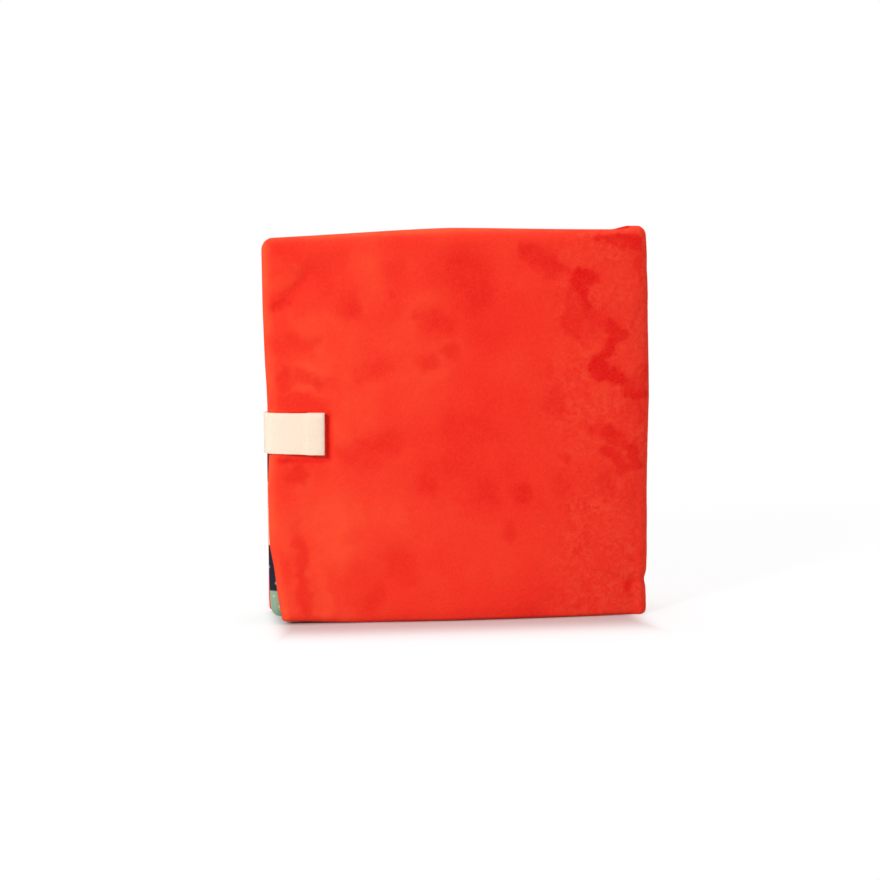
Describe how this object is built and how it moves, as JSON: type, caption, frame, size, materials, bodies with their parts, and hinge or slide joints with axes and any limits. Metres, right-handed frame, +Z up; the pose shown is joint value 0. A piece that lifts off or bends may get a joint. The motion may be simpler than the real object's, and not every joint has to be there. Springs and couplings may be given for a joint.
{
  "type": "cloth activity book",
  "caption": "Soft square cloth book for a baby: padded plush covers, stuffed printed leaves and a webbing strap that holds it shut.",
  "frame": {"origin": "under the middle of the closed book, on the surface that it stands on", "axes": "+Z up, +Y out of the front cover, -Y out of the back cover, +X out of the spine, -X out of the fore-edge"},
  "size_m": [0.2227, 0.0481, 0.22],
  "materials": {
    "plush": "matte",
    "lining": "matte",
    "print": "matte",
    "wadding": "matte",
    "webbing": "matte",
    "tape": "matte",
    "film": "gloss",
    "capsule": "satin"
  },
  "bodies": {
    "spine": {"spine_plush": "plush", "spine_wadding": "wadding", "spine_lining": "lining", "back_fold_plush": "plush", "front_fold_plush": "plush"},
    "back_cover": {"back_cover_plush": "plush", "back_cover_wadding": "wadding", "back_cover_lining": "lining", "cover_loop_patch": "tape"},
    "front_cover": {"front_cover_plush": "plush", "front_cover_wadding": "wadding", "front_cover_lining": "lining"},
    "leaf_1": {"leaf_1_front_print": "print", "leaf_1_back_print": "print", "leaf_1_wadding": "wadding", "squeaker": "capsule"},
    "leaf_2": {"leaf_2_front_print": "print", "leaf_2_back_print": "print", "leaf_2_wadding": "wadding", "leaf_2_crinkle_film": "film"},
    "leaf_3": {"leaf_3_front_print": "print", "leaf_3_back_print": "print", "leaf_3_wadding": "wadding"},
    "leaf_4": {"leaf_4_front_print": "print", "leaf_4_back_print": "print", "leaf_4_wadding": "wadding", "leaf_4_crinkle_film": "film"},
    "strap": {"strap_bridge": "webbing"},
    "strap_end": {"strap_tab": "webbing", "strap_hook_patch": "tape"}
  },
  "joints": [
    {"name": "back_cover_open", "type": "hinge", "parent": "spine", "child": "back_cover", "pos_m": [0.10662, -0.02045, 0], "axis": [0, 0, 1], "range_deg": [0, 175], "deforming": ["back_fold_plush"]},
    {"name": "front_cover_open", "type": "hinge", "parent": "spine", "child": "front_cover", "pos_m": [0.10929, 0.02045, 0], "axis": [0, 0, -1], "range_deg": [0, 175], "deforming": ["front_fold_plush"]},
    {"name": "leaf_1_turn", "type": "hinge", "parent": "spine", "child": "leaf_1", "pos_m": [0.10119, 0.01061, 0], "axis": [0, 0, -1], "range_deg": [0, 79]},
    {"name": "leaf_2_turn", "type": "hinge", "parent": "spine", "child": "leaf_2", "pos_m": [0.10073, 0.00354, 0], "axis": [0, 0, -1], "range_deg": [0, 36]},
    {"name": "leaf_3_turn", "type": "hinge", "parent": "spine", "child": "leaf_3", "pos_m": [0.10027, -0.00354, 0], "axis": [0, 0, 1], "range_deg": [0, 36]},
    {"name": "leaf_4_turn", "type": "hinge", "parent": "spine", "child": "leaf_4", "pos_m": [0.09981, -0.01061, 0], "axis": [0, 0, 1], "range_deg": [0, 79]},
    {"name": "strap_open", "type": "hinge", "parent": "front_cover", "child": "strap", "pos_m": [-0.10631, 0.014, 0.108], "axis": [0, 0, -1], "range_deg": [0, 150], "deforming": ["strap_bridge", "strap_tab", "strap_hook_patch"]},
    {"name": "strap_straighten", "type": "hinge", "parent": "strap", "child": "strap_end", "pos_m": [-0.1101, -0.01415, 0.108], "axis": [0, 0, -1], "range_deg": [0, 80]}
  ],
  "couplings": [
    {"joint": "leaf_1_turn", "follows": "front_cover_open", "ratio": 0.45},
    {"joint": "leaf_2_turn", "follows": "front_cover_open", "ratio": 0.2},
    {"joint": "leaf_3_turn", "follows": "back_cover_open", "ratio": 0.2},
    {"joint": "leaf_4_turn", "follows": "back_cover_open", "ratio": 0.45},
    {"joint": "strap_straighten", "follows": "strap_open", "ratio": 0.5333}
  ]
}
